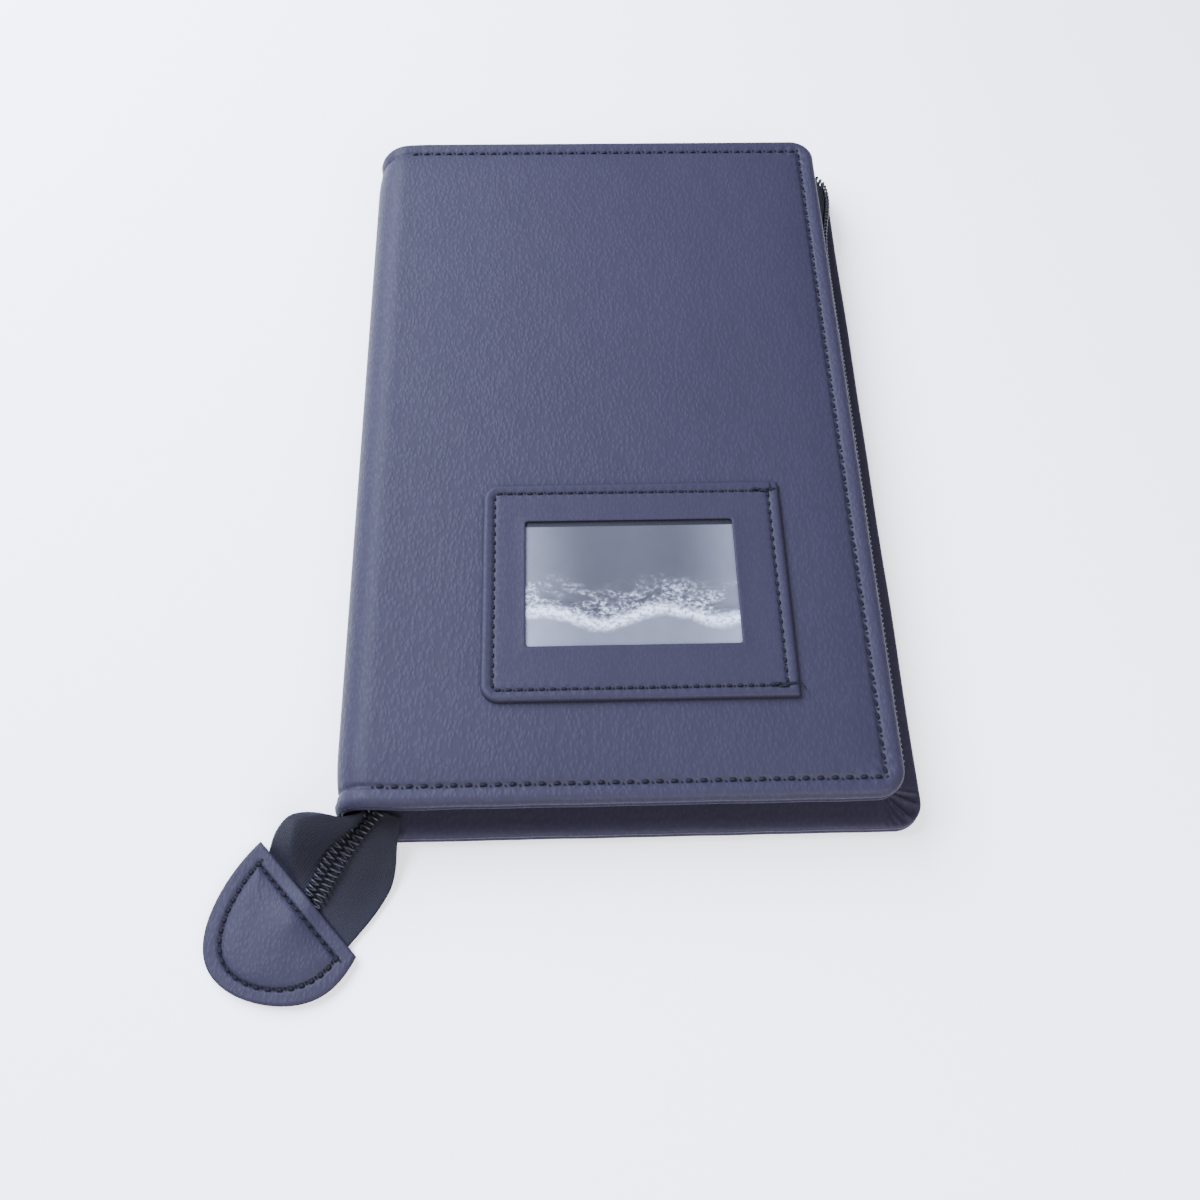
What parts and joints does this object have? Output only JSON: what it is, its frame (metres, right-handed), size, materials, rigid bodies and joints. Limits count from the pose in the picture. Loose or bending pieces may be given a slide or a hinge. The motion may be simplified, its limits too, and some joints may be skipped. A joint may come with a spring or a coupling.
{
  "type": "travel document organizer",
  "caption": "Zip-round travel document organizer with padded leatherette covers, a clear card window, inner pockets and a zip tail with a stitched tab.",
  "frame": {"origin": "centre of the back cover's outer face, which rests on the table", "axes": "+Z from the back cover to the front cover, +Y along the covers towards their head, +X from the spine to the fore edge"},
  "size_m": [0.1902, 0.2846, 0.0223],
  "materials": {
    "cover_leather": "fine pebbled leatherette, satin",
    "frame_leather": "fine pebbled leatherette, satin",
    "tab_leather": "fine pebbled leatherette, satin",
    "inner_leather": "smooth leatherette, satin",
    "foam": "thin foam sheet",
    "board": "grey cardboard",
    "lining_cloth": "woven polyester lining",
    "thread": "twisted polyester thread",
    "zip_tape": "woven polyester tape",
    "zip_coil": "nylon coil, satin",
    "zip_metal": "black enamel, satin",
    "window_film": "clear flexible PVC, glossy",
    "insert_print": "glossy grey print with a plain grainy pattern",
    "window_backing": "dark lining cloth",
    "elastic": "woven elastic"
  },
  "bodies": {
    "back_cover": {"back_skin": "cover_leather", "back_foam": "foam", "back_board": "board", "back_lining": "lining_cloth", "back_seam_thread": "thread", "back_zip_tape": "zip_tape", "back_zip_coil": "zip_coil", "back_top_stop": "zip_metal", "boarding_pass_pocket": "inner_leather", "passport_pocket": "inner_leather", "pen_loop": "elastic"},
    "spine": {"spine_skin": "cover_leather", "spine_lining": "lining_cloth"},
    "front_cover": {"front_skin": "cover_leather", "front_foam": "foam", "front_board": "board", "front_lining": "lining_cloth", "front_seam_thread": "thread", "front_zip_tape": "zip_tape", "front_zip_coil": "zip_coil", "front_top_stop": "zip_metal", "id_pocket_frame": "frame_leather", "id_window_film": "window_film", "id_pocket_backing": "window_backing", "id_pocket_thread": "thread", "id_insert_print": "insert_print", "ticket_pocket": "inner_leather", "card_slot_1": "inner_leather", "card_slot_2": "inner_leather", "card_slot_3": "inner_leather", "card_slot_4": "inner_leather"},
    "zip_slider": {"slider_body": "zip_metal", "pull_pin": "zip_metal"},
    "pull_tab": {"pull_tab": "zip_metal"},
    "zip_tail": {"tail_left_tape": "zip_tape", "tail_right_tape": "zip_tape", "tail_coil": "zip_coil", "tail_stop": "zip_metal", "tail_tab_bottom": "tab_leather", "tail_tab_top": "tab_leather", "tail_tab_thread": "thread"}
  },
  "joints": [
    {"name": "spine_fold", "type": "hinge", "parent": "back_cover", "child": "spine", "pos_m": [-0.07616, 0, 0.00234], "axis": [0, -1, 0], "range_deg": [0, 90]},
    {"name": "front_cover_fold", "type": "hinge", "parent": "spine", "child": "front_cover", "pos_m": [-0.07557, 0, 0.01757], "axis": [0, -1, 0], "range_deg": [0, 90]},
    {"name": "slider_travel", "type": "slide", "parent": "back_cover", "child": "zip_slider", "axis": [1, 0, 0], "range_m": [0, 0.107]},
    {"name": "pull_tab_swing", "type": "hinge", "parent": "zip_slider", "child": "pull_tab", "pos_m": [-0.05, 0.1221, 0.01025], "axis": [0, 0, 1], "range_deg": [0, 170]},
    {"name": "tail_lift", "type": "hinge", "parent": "back_cover", "child": "zip_tail", "pos_m": [-0.07526, -0.12389, 0.01], "axis": [-0.7771, 0.6293, 0], "range_deg": [0, 60]}
  ],
  "couplings": [
    {"joint": "front_cover_fold", "follows": "spine_fold", "ratio": 1}
  ]
}
